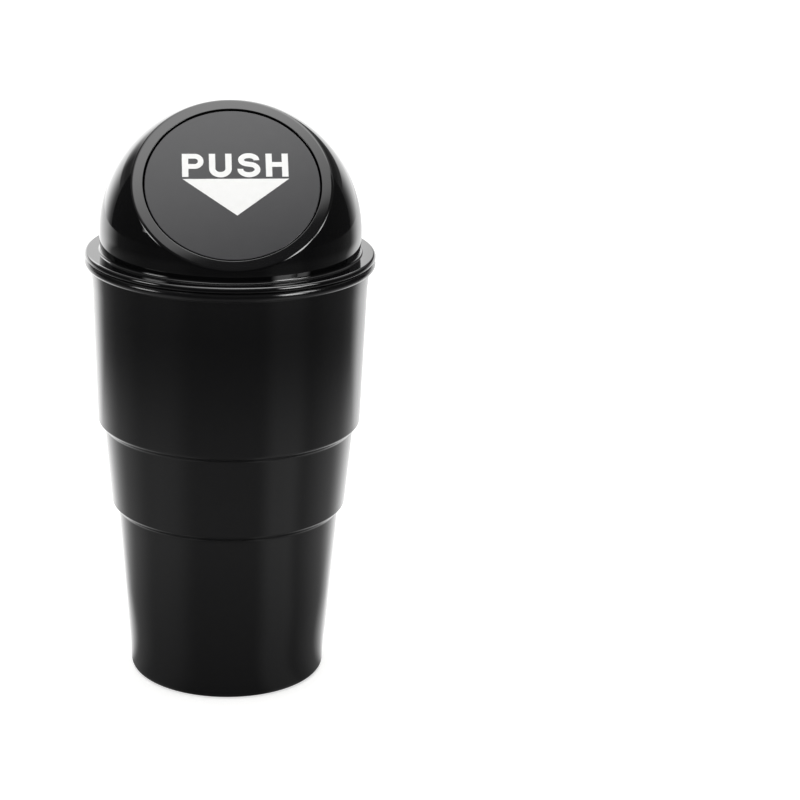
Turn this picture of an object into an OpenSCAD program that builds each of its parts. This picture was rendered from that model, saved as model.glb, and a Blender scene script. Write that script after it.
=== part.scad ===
// Car trash bin that stands in a cup holder.
// A stepped, tapered cup is closed by a domed lid with a sprung push flap in a slanted face.
// Origin: centre of the foot, on the table. +Z is up and the flap faces -Y.

/* [Cup] */
// Outer diameter of the foot, just above its rounded corner
foot_d = 60.5; // [54:0.1:65]
// Radius of the rounded corner round the foot
foot_round = 2.2; // [1.4:0.1:3]
// Outer diameter at the top of the lower tier
lower_top_d = 68.3; // [66:0.1:71]
// Height of the top of the lower tier
lower_top_z = 53.1; // [45:0.1:62]
// Outer diameter at the top of the middle tier
middle_top_d = 76.6; // [74.5:0.1:79]
// Height of the top of the middle tier
middle_top_z = 79.7; // [70:0.1:95]
// Outer diameter of the wall just under the rim
mouth_d = 84.4; // [82.5:0.1:87]
// Height of the cup to the top of its rim
cup_h = 133.7; // [120:0.1:150]
// How far each shoulder stands out from the tier below it
shoulder_out = 2.05; // [1:0.05:2.5]
// Height of the S-shaped slope of each shoulder
shoulder_h = 2.9; // [2:0.1:5]
// Thickness of the cup's wall
cup_wall = 1.4; // [1:0.1:2]
// Thickness of the cup's floor
floor_t = 1.8; // [1.2:0.1:3]
// Depth of the hollow under the floor
foot_hollow = 1; // [0.4:0.1:2]
// Width of the ring that the cup stands on
foot_ring_w = 3.4; // [2:0.1:5]

/* [Rim] */
// How far the rolled rim stands out from the wall
rim_out = 1.8; // [1:0.1:2.5]
// Height of the rolled rim
rim_h = 3; // [2.2:0.1:4]
// Radius that rounds the inner edge of the mouth
mouth_round = 0.6; // [0.2:0.1:0.7]

/* [Lid] */
// Outer diameter of the dome
dome_d = 79.2; // [77:0.1:80.4]
// Height of the dome's centre above the rim
dome_rise = 7.5; // [6:0.1:10]
// Thickness of the lid's wall
lid_wall = 1.6; // [1.2:0.1:2]
// Thickness of the flange that rests on the rim
flange_t = 1.6; // [1.2:0.1:2.5]
// Radius of the hollow corner between flange and dome
dome_foot_round = 0.8; // [0.4:0.1:1.2]
// Depth of the skirt that plugs into the cup
skirt_h = 6.2; // [4:0.1:9]
// Thickness of the skirt
skirt_t = 1.3; // [1:0.1:1.6]
// Clearance between the skirt and the cup
skirt_gap = 0.35; // [0.3:0.05:0.6]
// Number of grip ribs round the skirt
rib_n = 12; // [6:1:24]
// How far each grip rib stands out from the skirt
rib_out = 0.2; // [0.1:0.05:0.25]

/* [Slanted face] */
// Slant of the face from level, in degrees
face_tilt = 44.5; // [42:0.5:47]
// Height of the cap that the face cuts off the dome
face_cut = 13.2; // [12.8:0.1:13.8]
// Radius that rounds the edge between face and dome
face_round = 1.3; // [0.8:0.1:1.8]
// Width of the band from the opening to where face and dome would meet
band_w = 3.3; // [3:0.1:4.5]
// Radius that rounds the lip of the opening
lip_round = 0.2; // [0.2:0.1:0.7]

/* [Flap] */
// Clearance round the flap
flap_gap = 0.4; // [0.35:0.05:0.8]
// How far the flap's face lies below the slanted face
flap_sink = 0.3; // [0:0.05:0.5]
// Thickness of the flap's face
flap_t = 1.5; // [1.2:0.1:1.7]
// Depth of the flap's turned-back edge
flap_edge_h = 2.2; // [2:0.1:2.6]
// Thickness of the flap's turned-back edge
flap_edge_t = 1.2; // [1:0.1:1.6]
// Radius that rounds the outer corner of the flap
flap_round = 0.25; // [0.2:0.05:1.2]

/* [Hinge] */
// Diameter of the hinge pin
pin_d = 2; // [1.6:0.1:2.2]
// Distance of the pin from the opening's upper edge, along the face
pin_in = 8.2; // [7.6:0.1:9.6]
// Depth of the pin's centre behind the flap's face
pin_depth = 3.9; // [3.8:0.1:4.3]
// Radial clearance of the flap's barrels on the pin
run_gap = 0.05; // [0.03:0.01:0.1]
// Radial clearance of the pin in the lid's bosses
seat_gap = 0.03; // [0.01:0.01:0.05]
// Outer diameter of the flap's hinge barrels
barrel_d = 4.4; // [3.8:0.1:4.6]
// Distance between the inner ends of the two barrels
barrel_space = 25; // [20:0.5:27]
// Diameter of the lid's pin bosses
boss_d = 6; // [5:0.1:6.4]
// Play between each barrel and its boss
end_play = 0.4; // [0.3:0.1:0.8]

/* [Return spring] */
// Diameter of the spring wire
wire_d = 0.7; // [0.5:0.05:0.8]
// Number of turns in the coil
coil_turns = 7; // [4:1:9]
// Radial clearance between coil and pin
coil_gap = 0.25; // [0.15:0.05:0.3]
// Length of the leg that presses on the flap
flap_leg = 9; // [6:0.5:12]
// Length of the leg that hooks under the stop ledge
ledge_leg = 6.8; // [6:0.2:8]
// Width of the stop ledge that the flap closes on
ledge_w = 12; // [9:0.5:16]
// Thickness of the stop ledge
ledge_t = 1.3; // [1:0.1:1.6]
// How far the stop ledge reaches into the opening
ledge_reach = 3; // [2:0.1:3.4]

/* [Hidden] */
$fn = 96;

// Depth that cutting shapes run past the face they cut
over = 1;
// Flat faces of two pieces that press on each other lie this far apart
touch = 0.05;

foot_r = foot_d / 2;
mouth_r = mouth_d / 2;
rim_r = mouth_r + rim_out;
rim_under_z = cup_h - rim_h;
upper_bottom_z = middle_top_z + shoulder_h;
upper_bottom_r = middle_top_d / 2 + shoulder_out;
// How much the upper tier widens for each millimetre of height
upper_taper = (mouth_r - upper_bottom_r) / (rim_under_z - upper_bottom_z);

dome_r = dome_d / 2;
dome_z = cup_h + dome_rise;
dome_in_r = dome_r - lid_wall;
flange_top = cup_h + flange_t;
// Centre of the hollow corner between flange and dome: its height and its distance from the axis
dome_foot_z = flange_top + dome_foot_round;
dome_foot_r = sqrt(pow(dome_r, 2) - pow(dome_z - dome_foot_z, 2)) + dome_foot_round;
// The flange ends level with the rim, and carries on under a dome that is wider than the rim
flange_r = max(rim_r, dome_foot_r + flange_t);
face_out = dome_r - face_cut;
face_under = face_out - lid_wall;
opening_r = sqrt(pow(dome_r, 2) - pow(face_out, 2)) - band_w;

flap_r = opening_r - flap_gap;
flap_face = face_out - flap_sink;
flap_back = flap_face - flap_t;
flap_edge_under = flap_face - flap_edge_h;

pin_r = pin_d / 2;
pin_up = opening_r - pin_in;
pin_deep = flap_face - pin_depth;
barrel_r = barrel_d / 2;
boss_r = boss_d / 2;
// The bosses stand just outside the opening, where the flap never comes
boss_in = sqrt(pow(opening_r, 2) - pow(pin_up - boss_r, 2));
// Half the distance between the dome's walls along the pin
pin_wall = sqrt(pow(dome_in_r, 2) - pow(pin_up, 2) - pow(pin_deep, 2));
pin_end = pin_wall - 1.2;
barrel_in = barrel_space / 2;
barrel_out = boss_in - end_play;

ledge_top = flap_edge_under - 2 * touch;
ledge_under = ledge_top - ledge_t;

wire_r = wire_d / 2;
coil_r = pin_r + coil_gap + wire_r;
coil_pitch = wire_d * 1.05;
coil_x = coil_turns * coil_pitch / 2;

// Inner radius of the cup's upper tier at height z
function mouth_in(z) = mouth_r - cup_wall + upper_taper * (z - rim_under_z);

// Points of an arc round c, from angle a0 to angle a1, in n steps
function arc(c, r, a0, a1, n) =
    [for (i = [0 : n]) let (a = a0 + (a1 - a0) * i / n) c + r * [cos(a), sin(a)]];

// S-shaped slope that rises by shoulder_h and stands out by shoulder_out from point p
function shoulder(p, n = 10) =
    [for (i = [0 : n]) p + [shoulder_out * (1 - cos(180 * i / n)) / 2, shoulder_h * i / n]];

// Outline of the three tiers, from above the foot to under the rim
tiers = concat(
    shoulder([lower_top_d / 2, lower_top_z]),
    shoulder([middle_top_d / 2, middle_top_z]),
    [[mouth_r, rim_under_z]]);

// Coordinates with the dome's centre as origin, +Z square out of the face and +Y up along it
module in_face() {
    translate([0, 0, dome_z])
        rotate([face_tilt, 0, 0])
            children();
}

// A flat shape in Y and Z carried along X from x0 to x1
module along_x(x0, x1) {
    translate([x0, 0, 0])
        rotate([90, 0, 90])
            linear_extrude(x1 - x0)
                children();
}

// Both the piece drawn and its mirror image across X
module both_sides() {
    children();
    mirror([1, 0, 0])
        children();
}

// Injection-moulded cup: one wall that steps out twice, a rolled rim and a hollow foot
module cup() {
    inner_floor = foot_hollow + floor_t;
    inner_round = foot_round - cup_wall / 2;
    inner_foot_r = foot_r - cup_wall;
    roll_r = rim_h / 2;
    mouth_top_r = mouth_in(cup_h);
    outside = concat(
        arc([foot_r - foot_round, foot_round], foot_round, -90, 0, 8),
        tiers,
        arc([rim_r - roll_r, cup_h - roll_r], roll_r, -90, 90, 14));
    inside = concat(
        arc([mouth_top_r + mouth_round, cup_h - mouth_round], mouth_round, 90, 180, 5),
        [for (i = [len(tiers) - 1 : -1 : 0]) tiers[i] - [cup_wall, 0]],
        arc([inner_foot_r - inner_round, inner_floor + inner_round], inner_round, 0, -90, 6));
    underside = [
        [0, inner_floor],
        [0, foot_hollow],
        [foot_r - foot_round - foot_ring_w, foot_hollow],
        [foot_r - foot_round - foot_ring_w, 0]];
    color("#161617")
        rotate_extrude()
            polygon(concat(outside, inside, underside));
}

// Ball of the dome with the slanted face cut off it and the edge between them rounded
module dome_ball() {
    // Centre of the rounding, where a ball of its radius touches both face and dome
    round_z = face_out - face_round;
    round_x = sqrt(pow(dome_r - face_round, 2) - pow(round_z, 2));
    last = atan2(round_z, round_x) + 8;
    round_end = [round_x, round_z] + face_round * [cos(last), sin(last)];
    past_dome = round_end + 12 * [sin(last), -cos(last)];
    intersection() {
        translate([0, 0, dome_z])
            sphere(r = dome_r);
        in_face()
            rotate_extrude()
                polygon(concat(
                    [[0, face_out]],
                    arc([round_x, round_z], face_round, 90, last, 6),
                    [past_dome, [dome_d, past_dome.y], [dome_d, -dome_d], [0, -dome_d]]));
        translate([0, 0, cup_h])
            cylinder(r = dome_d, h = dome_d);
    }
}

// Flange on the rim, with a rounded edge and a hollow corner up to the dome
module flange() {
    edge_top_r = flange_t * 0.55;
    edge_under_r = flange_t * 0.3;
    rotate_extrude()
        polygon(concat(
            [[0, cup_h]],
            arc([flange_r - edge_under_r, cup_h + edge_under_r], edge_under_r, -90, 0, 4),
            arc([flange_r - edge_top_r, flange_top - edge_top_r], edge_top_r, 0, 90, 6),
            arc([dome_foot_r - touch, dome_foot_z], dome_foot_round, 270, 195, 6),
            [[0, dome_foot_z - dome_foot_round * sin(15)]]));
}

// Tapered skirt inside the mouth, with a chamfered lead-in and upright grip ribs
module skirt() {
    lead_in = 0.5;
    under = cup_h - skirt_h;
    rib_r = 0.8;
    rib_top = cup_h - mouth_round - lead_in;
    rib_under = under + 2 * lead_in;
    rib_axis_r = mouth_in(under) - skirt_gap + rib_out - rib_r;
    rotate_extrude()
        polygon([
            [0, under],
            [mouth_in(under) - skirt_gap - lead_in, under],
            [mouth_in(under) - skirt_gap, under + lead_in],
            [mouth_in(cup_h) - skirt_gap, cup_h],
            [mouth_in(cup_h) - skirt_gap, cup_h + flange_t / 2],
            [0, cup_h + flange_t / 2]]);
    for (i = [0 : rib_n - 1])
        rotate([0, 0, (i + 0.5) * 360 / rib_n])
            translate([rib_axis_r, 0, rib_under])
                cylinder(r = rib_r, h = rib_top - rib_under, $fn = 24);
}

// Hollow of the lid: round under the dome, upright below it, and flat behind the face
module lid_hollow() {
    skirt_in = mouth_in(cup_h - skirt_h) - skirt_gap - skirt_t;
    intersection() {
        union() {
            translate([0, 0, dome_z])
                sphere(r = dome_in_r);
            translate([0, 0, flange_top])
                cylinder(r = dome_in_r, h = dome_z - flange_top);
        }
        in_face()
            translate([-dome_d, -dome_d, face_under - 2 * dome_d])
                cube(2 * dome_d);
        translate([-dome_d, -dome_d, flange_top])
            cube(2 * dome_d);
    }
    // The way through the flange is no wider than the skirt's inside
    translate([0, 0, cup_h - over])
        cylinder(r = min(dome_in_r, skirt_in), h = flange_t + over);
    translate([0, 0, cup_h - skirt_h - over])
        cylinder(r = skirt_in, h = skirt_h + over);
}

// Round opening through the face, with a rounded lip
module opening() {
    rotate_extrude()
        polygon(concat(
            [[0, face_under - over], [opening_r, face_under - over]],
            arc([opening_r + lip_round, face_out - lip_round], lip_round, 180, 100, 5),
            [[opening_r + 2 * lip_round, face_out + lip_round / 2], [0, face_out + lip_round / 2]]));
}

// Outline of one pin boss: a round end hung from the back of the face
module boss_outline() {
    translate([pin_up, pin_deep])
        circle(r = boss_r);
    translate([pin_up - boss_r, pin_deep])
        square([boss_d, face_under + lid_wall / 2 - pin_deep]);
}

// Ledge under the flap's top edge, hung from the back of the face
module stop_ledge_outline() {
    reach_end = dome_r;
    translate([opening_r - ledge_reach, ledge_under])
        square([reach_end - opening_r + ledge_reach, ledge_t]);
    translate([opening_r, ledge_under])
        square([reach_end - opening_r, face_under + lid_wall / 2 - ledge_under]);
}

// Injection-moulded lid: dome, slanted face, flange, skirt, and inside it the bosses and the stop
module lid_dome() {
    snap_w = pin_d * 0.85;
    bore_end = pin_end + touch * 3;
    color("#111112")
        difference() {
            union() {
                difference() {
                    union() {
                        dome_ball();
                        flange();
                        skirt();
                    }
                    lid_hollow();
                    in_face()
                        opening();
                }
                in_face()
                    intersection() {
                        sphere(r = dome_r - lid_wall / 2);
                        union() {
                            both_sides()
                                along_x(boss_in, dome_r)
                                    boss_outline();
                            along_x(-ledge_w / 2, ledge_w / 2)
                                stop_ledge_outline();
                        }
                    }
            }
            in_face()
                both_sides()
                    along_x(boss_in - over, bore_end) {
                        translate([pin_up, pin_deep])
                            circle(r = pin_r + seat_gap);
                        translate([pin_up - snap_w / 2, pin_deep - boss_r - over])
                            square([snap_w, boss_r + over]);
                    }
        }
}

// Web that carries one barrel on the back of the flap
module web_outline() {
    base_down = 6;
    base_up = 1.2;
    translate([pin_up, pin_deep])
        polygon([
            [-base_down, flap_back + flap_t / 3 - pin_deep],
            [base_up, flap_back + flap_t / 3 - pin_deep],
            [base_up, 0],
            [-barrel_r * cos(20), -barrel_r * sin(20)]]);
}

// Moulded flap: a disc with a turned-back edge and two hinge barrels on webs
module push_flap() {
    web_t = 2.5;
    color("#2b2b2d")
        in_face()
            difference() {
                union() {
                    rotate_extrude()
                        polygon(concat(
                            [[0, flap_face]],
                            arc([flap_r - flap_round, flap_face - flap_round], flap_round, 90, 0, 7),
                            [[flap_r, flap_edge_under],
                             [flap_r - flap_edge_t, flap_edge_under],
                             [flap_r - flap_edge_t, flap_back],
                             [0, flap_back]]));
                    both_sides() {
                        along_x(barrel_in, barrel_out)
                            translate([pin_up, pin_deep])
                                circle(r = barrel_r);
                        along_x(barrel_in, barrel_in + web_t)
                            web_outline();
                    }
                }
                along_x(-boss_in, boss_in)
                    translate([pin_up, pin_deep])
                        circle(r = pin_r + run_gap);
            }
}

// Steel hinge pin with chamfered ends
module hinge_pin() {
    chamfer = 0.25;
    color("#b9bcc0")
        in_face()
            translate([0, pin_up, pin_deep])
                rotate([0, 90, 0])
                    rotate_extrude()
                        polygon([
                            [0, -pin_end],
                            [pin_r - chamfer, -pin_end],
                            [pin_r, chamfer - pin_end],
                            [pin_r, pin_end - chamfer],
                            [pin_r - chamfer, pin_end],
                            [0, pin_end]]);
}

// All in Y and Z from the pin: one leg runs off the coil as a tangent and ends on the flap's back
flap_leg_end = [-flap_leg, flap_back - wire_r - touch - pin_deep];
flap_leg_angle = atan2(flap_leg_end.y, flap_leg_end.x) - acos(coil_r / norm(flap_leg_end));
// The other leg runs off as a tangent that passes just under the ledge's inner edge
ledge_edge = [opening_r - ledge_reach - pin_up, ledge_under - pin_deep];
ledge_leg_angle = atan2(ledge_edge.y, ledge_edge.x)
    + acos((coil_r + wire_r + touch) / norm(ledge_edge));
ledge_leg_end = coil_r * [cos(ledge_leg_angle), sin(ledge_leg_angle)]
    + ledge_leg * [sin(ledge_leg_angle), -cos(ledge_leg_angle)];
coil_sweep = 360 * coil_turns + flap_leg_angle - ledge_leg_angle;
steps_per_turn = 14;
coil_steps = steps_per_turn * coil_turns;

// Middle line of the wire: leg, coil and leg
spring_path = concat(
    [[-coil_x, flap_leg_end.x, flap_leg_end.y]],
    [for (i = [0 : coil_steps])
        let (a = flap_leg_angle - coil_sweep * i / coil_steps)
        [-coil_x + 2 * coil_x * i / coil_steps, coil_r * cos(a), coil_r * sin(a)]],
    [[coil_x, ledge_leg_end.x, ledge_leg_end.y]]);

// Torsion spring on the pin, one round wire swept along the middle line
module return_spring() {
    sides = 8;
    n = len(spring_path);
    rings = [for (i = [0 : n - 1])
        let (ahead = spring_path[min(i + 1, n - 1)],
             behind = spring_path[max(i - 1, 0)],
             run = (ahead - behind) / norm(ahead - behind),
             across = cross(run, [1, 0, 0]),
             side = across / norm(across),
             up = cross(run, side))
        for (k = [0 : sides - 1])
            let (a = 360 * k / sides)
            spring_path[i] + wire_r * (cos(a) * side + sin(a) * up)];
    walls = [for (i = [0 : n - 2], k = [0 : sides - 1])
        let (k2 = (k + 1) % sides)
        [i * sides + k, i * sides + k2, (i + 1) * sides + k2, (i + 1) * sides + k]];
    start = [[for (k = [sides - 1 : -1 : 0]) k]];
    finish = [[for (k = [0 : sides - 1]) (n - 1) * sides + k]];
    color("#c9ccd0")
        in_face()
            translate([0, pin_up, pin_deep])
                polyhedron(points = rings, faces = concat(start, walls, finish), convexity = 10);
}

cup();
lid_dome();
push_flap();
hinge_pin();
return_spring();
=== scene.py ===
import math

import bpy
import numpy as np
from mathutils import Matrix, Vector


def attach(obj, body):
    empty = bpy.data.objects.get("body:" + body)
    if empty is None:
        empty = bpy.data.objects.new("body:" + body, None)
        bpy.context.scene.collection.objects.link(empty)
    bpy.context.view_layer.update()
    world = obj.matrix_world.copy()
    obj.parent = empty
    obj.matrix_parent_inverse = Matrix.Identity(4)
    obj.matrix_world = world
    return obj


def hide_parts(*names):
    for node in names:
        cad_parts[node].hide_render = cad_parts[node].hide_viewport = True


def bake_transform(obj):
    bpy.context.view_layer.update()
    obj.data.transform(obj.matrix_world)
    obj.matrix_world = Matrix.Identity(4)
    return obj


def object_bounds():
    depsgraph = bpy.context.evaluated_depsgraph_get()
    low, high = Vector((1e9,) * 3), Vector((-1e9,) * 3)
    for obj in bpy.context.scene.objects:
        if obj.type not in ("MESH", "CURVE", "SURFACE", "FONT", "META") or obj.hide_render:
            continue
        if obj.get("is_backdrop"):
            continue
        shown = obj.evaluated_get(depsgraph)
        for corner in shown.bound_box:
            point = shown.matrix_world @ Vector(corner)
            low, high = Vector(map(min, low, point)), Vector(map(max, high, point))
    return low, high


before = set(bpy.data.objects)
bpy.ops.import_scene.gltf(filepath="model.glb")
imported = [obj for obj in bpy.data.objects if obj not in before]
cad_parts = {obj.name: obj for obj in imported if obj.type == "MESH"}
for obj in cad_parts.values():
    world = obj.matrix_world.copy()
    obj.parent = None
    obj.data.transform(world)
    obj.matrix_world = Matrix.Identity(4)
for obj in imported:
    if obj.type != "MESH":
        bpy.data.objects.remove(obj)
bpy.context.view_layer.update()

# Camera. It stands where a fit of the photograph puts it: 0.75 m in front of the bin and
# 0.33 m above the table, looking down, with a long lens that leaves the bin left of centre.
camera_place = (-0.0160, -0.7542, 0.3349)
camera_swing = math.radians(-5.22)
camera_down = math.radians(18.10)
camera_roll = math.radians(1.75)
sensor_mm = 36
lens_in_frame_widths = 3.206
camera_data = bpy.data.cameras.new("camera")
camera_data.sensor_width = sensor_mm
camera_data.lens = sensor_mm * lens_in_frame_widths
camera = bpy.data.objects.new("camera", camera_data)
camera.matrix_world = (
    Matrix.Translation(camera_place)
    @ Matrix.Rotation(camera_swing, 4, "Z")
    @ Matrix.Rotation(math.pi / 2 - camera_down, 4, "X")
    @ Matrix.Rotation(camera_roll, 4, "Z"))
bpy.context.collection.objects.link(camera)
bpy.context.scene.camera = camera
bpy.context.scene.view_settings.view_transform = "Standard"


# Table and surroundings. A pale laminate table top that runs on past the view, in a white
# room: what the camera and every mirror-like surface see of the room is plain white. To the
# camera the table glows a little under the bin, and more so far away, so it ends in white.
table_half_width = 4.0
table_white = "#e6e6e4"
glow_near, glow_far = 0.4, 2.0
table_glow = 0.60
room_light = 0.42


def colour(code):
    """Linear colour of an sRGB hex code, by the sRGB curve."""
    shares = [int(code[i:i + 2], 16) / 255 for i in (1, 3, 5)]
    return [s / 12.92 if s <= 0.04045 else ((s + 0.055) / 1.055) ** 2.4 for s in shares] + [1.0]


def add(tree, kind, inputs=None, **settings):
    """Adds a node. Each input is a value, or the output that is linked to it."""
    made = tree.nodes.new("ShaderNode" + kind)
    for name, value in settings.items():
        setattr(made, name, value)
    for name, value in (inputs or {}).items():
        if isinstance(value, bpy.types.NodeSocket):
            tree.links.new(value, made.inputs[name])
        else:
            made.inputs[name].default_value = value
    return made


def empty_tree(owner):
    """The owner's node tree, cleared."""
    owner.use_nodes = True
    owner.node_tree.nodes.clear()
    return owner.node_tree


def seen_directly(tree):
    """1 for rays from the camera, from a mirror-like surface or through glass, and 0 for the rest."""
    path = add(tree, "LightPath")
    either = add(tree, "Math", {0: path.outputs["Is Camera Ray"], 1: path.outputs["Is Glossy Ray"]},
                 operation="MAXIMUM")
    return add(tree, "Math", {0: either.outputs[0], 1: path.outputs["Is Transmission Ray"]},
               operation="MAXIMUM").outputs[0]


room = bpy.data.worlds.new("white_room")
bpy.context.scene.world = room
tree = empty_tree(room)
lighting = add(tree, "Background", {"Color": (1, 1, 1, 1), "Strength": room_light})
shown = add(tree, "Background", {"Color": (1, 1, 1, 1), "Strength": 1.0})
mixed = add(tree, "MixShader", {0: seen_directly(tree), 1: lighting.outputs[0], 2: shown.outputs[0]})
add(tree, "OutputWorld", {"Surface": mixed.outputs[0]})

laminate = bpy.data.materials.new("matt_white_laminate")
tree = empty_tree(laminate)
board = add(tree, "BsdfDiffuse", {"Color": colour(table_white)})
reach = add(tree, "VectorMath", {0: add(tree, "TexCoord").outputs["Object"]}, operation="LENGTH")
further = add(tree, "MapRange", {
    "Value": reach.outputs["Value"], "From Min": glow_near, "From Max": glow_far,
    "To Min": table_glow, "To Max": 1.0})
glow_level = add(tree, "Math", {0: seen_directly(tree), 1: further.outputs[0]}, operation="MULTIPLY")
glow = add(tree, "Emission", {"Color": (1, 1, 1, 1), "Strength": glow_level.outputs[0]})
both = add(tree, "AddShader", {0: board.outputs[0], 1: glow.outputs[0]})
add(tree, "OutputMaterial", {"Surface": both.outputs[0]})

w = table_half_width
table_mesh = bpy.data.meshes.new("table")
table_mesh.from_pydata([(-w, -w, 0), (w, -w, 0), (w, w, 0), (-w, w, 0)], [], [(0, 1, 2, 3)])
table_mesh.materials.append(laminate)
table = bpy.data.objects.new("table", table_mesh)
bpy.context.collection.objects.link(table)
table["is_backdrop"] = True


# Lamps. A large softbox hangs over the bin, and a broad weak one fills the front. What the
# gloss shows of them is left to the cards below, so the lamps themselves leave no mark in it.
softbox_height = 0.70
softbox_front = -0.171
softbox_width = 0.60
softbox_depth = 0.46
softbox_radiance = 3.5
fill_place, fill_target = (-0.25, -1.3, 1.1), (0, 0, 0.1)
fill_size = 1.2
fill_radiance = 0.9


def soft_lamp(name, place, width, depth, radiance, target):
    """A rectangular lamp that faces its target; its power is radiance times pi times its area."""
    data = bpy.data.lights.new(name, "AREA")
    data.shape = "RECTANGLE"
    data.size = width
    data.size_y = depth
    data.energy = radiance * math.pi * width * depth
    lamp = bpy.data.objects.new(name, data)
    aim = Vector(target) - Vector(place)
    lamp.matrix_world = Matrix.Translation(place) @ aim.to_track_quat("-Z", "Y").to_matrix().to_4x4()
    lamp.visible_camera = False
    lamp.visible_glossy = False
    bpy.context.collection.objects.link(lamp)


softbox_middle = softbox_front + softbox_depth / 2
soft_lamp("softbox", (0, softbox_middle, softbox_height), softbox_width, softbox_depth,
          softbox_radiance, (0, softbox_middle, 0))
soft_lamp("front_fill", fill_place, fill_size, fill_size, fill_radiance, fill_target)


# Cards. They are what the gloss of the bin mirrors, as the photograph shows it: a grey mat,
# black cloth round the front, a white wall behind, and the softboxes. Nothing else sees them.
# Their glow is painted reflection, which shows only in the gloss of the bin.
room_radius = 1.1
room_top = softbox_height + 0.02
cloth_reach = 126
cloth_radiance = 0.035
card_columns = 97
# Name, bearings, heights and radiance of each strip light.
strips = [
    ("right_strip", (34, 60), (0.18, 0.48), 12.0),
    ("right_high_strip", (54, 74), (0.32, 0.60), 9.0),
    ("left_strip", (-82, -54), (0.155, 0.31), 8.0)]
strip_distance = 0.55


def card(name, points, emission_of):
    """A card on a grid of points, unseen but in reflections, whose emission one function sets."""
    rows, columns = points.shape[:2]
    at = np.arange(rows * columns).reshape(rows, columns)
    quads = np.stack([at[:-1, :-1], at[:-1, 1:], at[1:, 1:], at[1:, :-1]], -1).reshape(-1, 4)
    mesh = bpy.data.meshes.new(name)
    mesh.from_pydata(points.reshape(-1, 3).tolist(), [], quads.tolist())
    material = bpy.data.materials.new(name)
    tree = empty_tree(material)
    lit = add(tree, "Emission", {"Color": (1, 1, 1, 1), "Strength": emission_of(tree)})
    add(tree, "OutputMaterial", {"Surface": lit.outputs[0]})
    mesh.materials.append(material)
    made = bpy.data.objects.new(name, mesh)
    made.visible_camera = False
    made.visible_diffuse = False
    made.visible_shadow = False
    made.visible_transmission = False
    bpy.context.collection.objects.link(made)
    made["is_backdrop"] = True


def round_card(name, start, end, near, far, emission_of):
    """A card between two circles of radius and height, from one bearing to another. Bearings
    are in degrees from the front, and grow to the right."""
    turns = np.radians(np.linspace(start, end, card_columns))
    rings = np.array([near, far])
    across = rings[:, :1] * np.sin(turns)
    ahead = rings[:, :1] * np.cos(turns)
    card(name, np.stack([across, -ahead, rings[:, 1:] + 0 * across], -1), emission_of)


def place_of(tree):
    """X, Y and Z of the shaded point."""
    return add(tree, "SeparateXYZ", {0: add(tree, "TexCoord").outputs["Object"]}).outputs


def combine(tree, operation, one, other=0.0):
    """One value worked out from two by a named operation."""
    return add(tree, "Math", {0: one, 1: other}, operation=operation).outputs[0]


def between(tree, value, low, high, at_low, at_high, way="SMOOTHSTEP"):
    """Leads from at_low, where the value is low, to at_high, where it is high."""
    return add(tree, "MapRange", {
        "Value": value, "From Min": low, "From Max": high, "To Min": at_low, "To Max": at_high},
        interpolation_type=way).outputs[0]


def bearing_of(tree, x, y):
    """Bearing of a point in degrees: 0 straight in front of the bin, and 90 on its right."""
    turn = combine(tree, "ARCTAN2", x, combine(tree, "MULTIPLY", y, -1.0))
    return combine(tree, "MULTIPLY", turn, 180 / math.pi)


# The mat's glow paints the bin's reflections: dark in front, with a lighter patch near 50
# degrees on either side. It grows lighter past both sides, and is brightest to the left and right
# of the back. Each fade below leads from one place to another and from one value to another;
# places are metres from the bin's axis, or bearings. A patch has its middle's bearing first, then a
# fade by degrees off it.
mat_inner = 0.024
mat_front = 0.22
mat_sides = [(-112, -58, 0.36, 0.0), (52, 110, 0.0, 0.36)]
mat_back = [(-144, -103, 1.36, 0.0), (101, 137, 0.0, 1.20)]
mat_middle_of_back = [(-180, -164, -0.76, 0.0), (-172, -142, -0.28, 0.0), (132, 180, 0.0, -0.88)]
mat_patches = [(-56, 4, 28, 0.18, 0.0), (46.5, 6.5, 24, 0.29, 0.0)]
mat_drawn_in = (0.03, 0.08, 1.26, 1.0)
mat_near_foot = (0.02, 0.12, 0.40, 1.0)
mat_far = (0.20, 0.36, 1.0, 0.25)
mat_farthest = (0.42, 0.60, 1.0, 0.5)
back_begins = (112, 142, 0.0, 1.0)
back_shifted = (0.45, 0.60, 5.0, -6.0)
back_widened = (0.07, 0.15, 22.0, 0.0)
# Painted glint behind the foot: by metres from the axis, then by degrees off the front.
painted_foot_glint = (0.034, 0.046, 1.2, 0.0)
painted_foot_glint_sides = (140, 175, 0.0, 1.0)


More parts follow.
